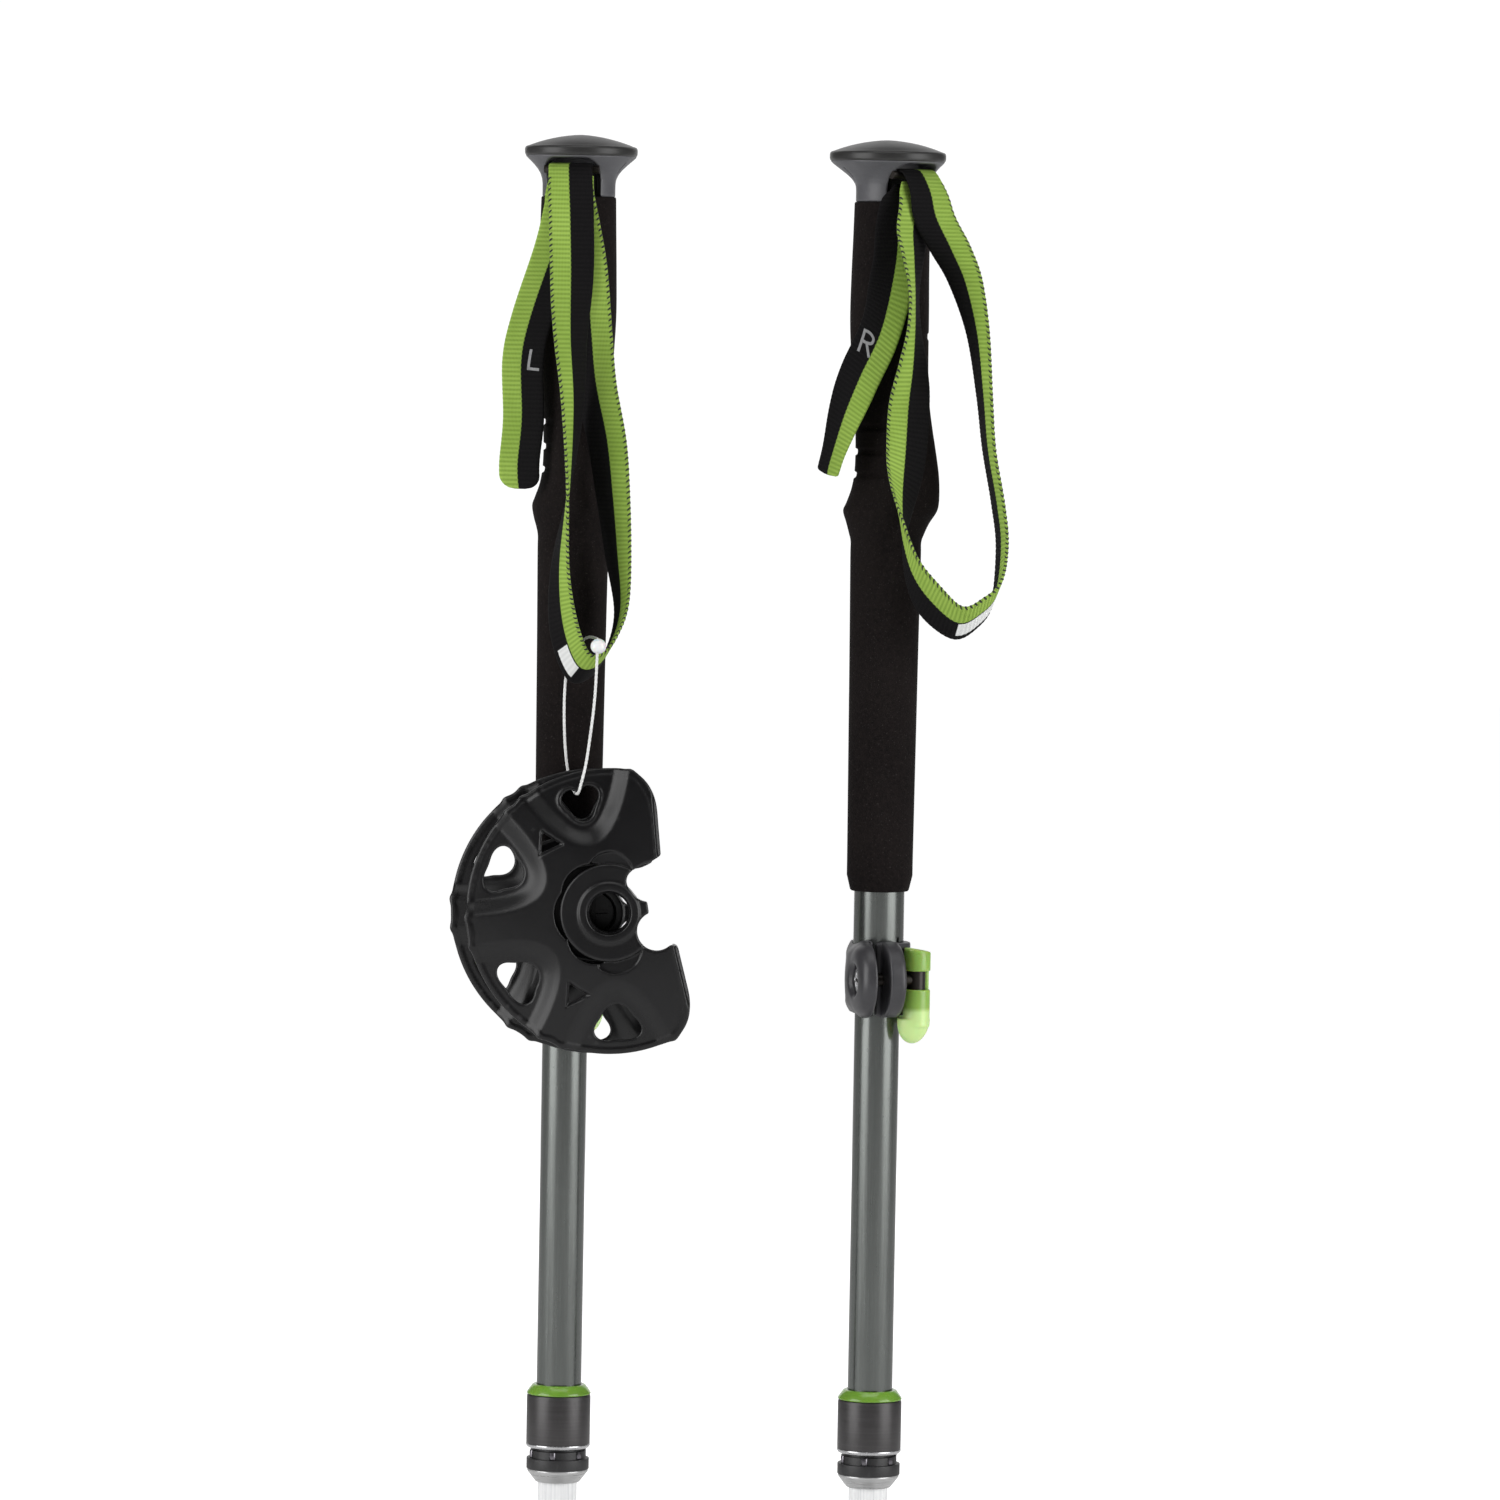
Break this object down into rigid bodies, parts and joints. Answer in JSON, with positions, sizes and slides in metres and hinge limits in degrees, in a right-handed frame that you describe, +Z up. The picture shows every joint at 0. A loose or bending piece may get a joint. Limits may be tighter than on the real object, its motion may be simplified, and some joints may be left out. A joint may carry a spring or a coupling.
{
  "type": "trekking poles",
  "caption": "Pair of three-section trekking poles with foam grips, wrist straps, lever clamps, collar locks, flexible tips and two snow baskets hung on a strap.",
  "frame": {"origin": "the left pole's axis at the height where the palm holds the grip", "axes": "+Z up along the pole to the cap, +X from the left pole to the right pole, -Y the side that the wrist straps hang on"},
  "size_m": [0.1956, 0.0676, 0.62],
  "materials": {
    "grip_plastic": "satin moulded plastic",
    "cap_plastic": "satin moulded plastic",
    "black_plastic": "satin moulded plastic",
    "steel": "plain steel",
    "foam": "closed-cell foam",
    "anodised_tube": "anodised, satin",
    "green_lever": "glossy moulded plastic",
    "collar_metal": "anodised, matt",
    "green_ring": "anodised, glossy",
    "light_ring": "machined, satin",
    "white_tube": "white lacquer",
    "webbing": "ribbed two-colour webbing",
    "basket_plastic": "satin moulded plastic",
    "string": "white string"
  },
  "bodies": {
    "left_grip": {"left_grip_head": "grip_plastic", "left_top_cover": "cap_plastic", "left_strap_wedge": "black_plastic", "left_strap_pin": "steel", "left_foam_grip": "foam", "left_upper_shaft": "anodised_tube", "left_clamp_body": "black_plastic", "left_clamp_screw": "steel", "left_clamp_barrel": "steel", "left_clamp_washer": "steel"},
    "left_lever": {"left_clamp_lever": "green_lever"},
    "left_middle": {"left_mid_shaft": "anodised_tube", "left_mid_bush": "black_plastic", "left_lock_housing": "collar_metal", "left_collar_ring": "green_ring", "left_collar_spring": "steel", "left_lock_balls": "steel", "left_nose_ring": "light_ring"},
    "left_collar": {"left_release_collar": "collar_metal"},
    "left_lower": {"left_lower_shaft": "white_tube", "left_lower_bush": "black_plastic", "left_flex_tip": "black_plastic", "left_carbide_tip": "steel", "left_trekking_basket": "black_plastic"},
    "left_wrist_strap": {"left_strap": "webbing", "left_strap_tail": "webbing"},
    "right_grip": {"right_grip_head": "grip_plastic", "right_top_cover": "cap_plastic", "right_strap_wedge": "black_plastic", "right_strap_pin": "steel", "right_foam_grip": "foam", "right_upper_shaft": "anodised_tube", "right_clamp_body": "black_plastic", "right_clamp_screw": "steel", "right_clamp_barrel": "steel", "right_clamp_washer": "steel"},
    "right_lever": {"right_clamp_lever": "green_lever"},
    "right_middle": {"right_mid_shaft": "anodised_tube", "right_mid_bush": "black_plastic", "right_lock_housing": "collar_metal", "right_collar_ring": "green_ring", "right_collar_spring": "steel", "right_lock_balls": "steel", "right_nose_ring": "light_ring"},
    "right_collar": {"right_release_collar": "collar_metal"},
    "right_lower": {"right_lower_shaft": "white_tube", "right_lower_bush": "black_plastic", "right_flex_tip": "black_plastic", "right_carbide_tip": "steel", "right_trekking_basket": "black_plastic"},
    "right_wrist_strap": {"right_strap": "webbing", "right_strap_tail": "webbing"},
    "hanging_baskets": {"snow_basket_front": "basket_plastic", "snow_basket_rear": "basket_plastic", "basket_plug": "basket_plastic", "tag_loop": "string", "tag_bead": "string"}
  },
  "joints": [
    {"name": "left_middle_slide", "type": "slide", "parent": "left_grip", "child": "left_middle", "axis": [0, 0, -1], "range_m": [-0.015, 0.19]},
    {"name": "left_lower_slide", "type": "slide", "parent": "left_middle", "child": "left_lower", "axis": [0, 0, -1], "range_m": [-0.005, 0.36]},
    {"name": "left_lever_hinge", "type": "hinge", "parent": "left_grip", "child": "left_lever", "pos_m": [0.00891, 0.01387, -0.2295], "axis": [0, 0, -1], "range_deg": [0, 150]},
    {"name": "left_collar_release", "type": "slide", "parent": "left_middle", "child": "left_collar", "axis": [0, 0, -1], "range_m": [0, 0.0036], "stiffness_N_per_m": 600, "springref_m": -0.003, "deforming": ["left_collar_spring"]},
    {"name": "left_strap_swing", "type": "hinge", "parent": "left_grip", "child": "left_wrist_strap", "pos_m": [-0.00229, -0.01076, 0.0565], "axis": [-0.9781, 0.2079, 0], "range_deg": [0, 28]},
    {"name": "right_middle_slide", "type": "slide", "parent": "right_grip", "child": "right_middle", "axis": [0, 0, -1], "range_m": [-0.015, 0.19]},
    {"name": "right_lower_slide", "type": "slide", "parent": "right_middle", "child": "right_lower", "axis": [0, 0, -1], "range_m": [-0.005, 0.36]},
    {"name": "right_lever_hinge", "type": "hinge", "parent": "right_grip", "child": "right_lever", "pos_m": [0.12537, -0.00891, -0.2295], "axis": [0, 0, -1], "range_deg": [0, 150]},
    {"name": "right_collar_release", "type": "slide", "parent": "right_middle", "child": "right_collar", "axis": [0, 0, -1], "range_m": [0, 0.0036], "stiffness_N_per_m": 600, "springref_m": -0.003, "deforming": ["right_collar_spring"]},
    {"name": "right_strap_swing", "type": "hinge", "parent": "right_grip", "child": "right_wrist_strap", "pos_m": [0.11857, -0.00843, 0.0565], "axis": [-0.766, -0.6428, 0], "range_deg": [0, 28]},
    {"name": "right_pole_apart", "type": "slide", "parent": "left_grip", "child": "right_grip", "axis": [1, 0, 0], "range_m": [0, 0.3]},
    {"name": "baskets_swing", "type": "hinge", "parent": "left_wrist_strap", "child": "hanging_baskets", "pos_m": [0.0103, -0.0343, -0.1115], "axis": [0, 1, 0], "range_deg": [-15, 15]}
  ]
}
